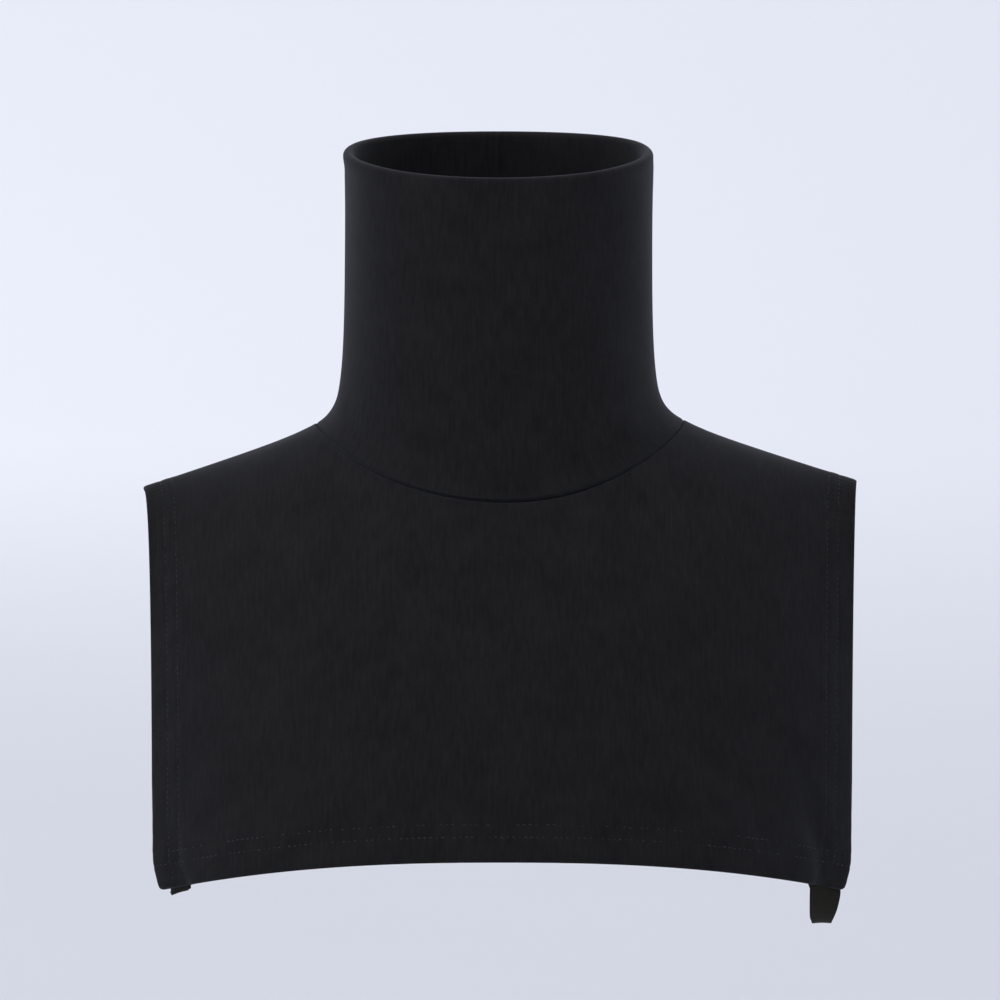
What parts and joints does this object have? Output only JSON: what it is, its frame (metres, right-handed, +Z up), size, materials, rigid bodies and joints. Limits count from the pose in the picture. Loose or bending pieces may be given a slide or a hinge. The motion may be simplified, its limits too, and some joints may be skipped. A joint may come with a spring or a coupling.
{
  "type": "turtleneck dickey",
  "caption": "Black jersey turtleneck dickey: tall folded collar on a short front and back bib, with an elastic strap under each arm.",
  "frame": {"origin": "middle of the neck, level with the side neck points of the neckline", "axes": "+Z up along the neck, -Y towards the front of the wearer, +X to the right of a viewer who faces the front"},
  "size_m": [0.35, 0.2184, 0.3809],
  "materials": {
    "jersey": "matt black fine cotton jersey",
    "elastic": "matt black knitted elastic"
  },
  "bodies": {
    "root": {"collar": "jersey", "front_panel": "jersey", "back_panel": "jersey", "side_strap_right": "elastic", "side_strap_left": "elastic"}
  },
  "joints": []
}
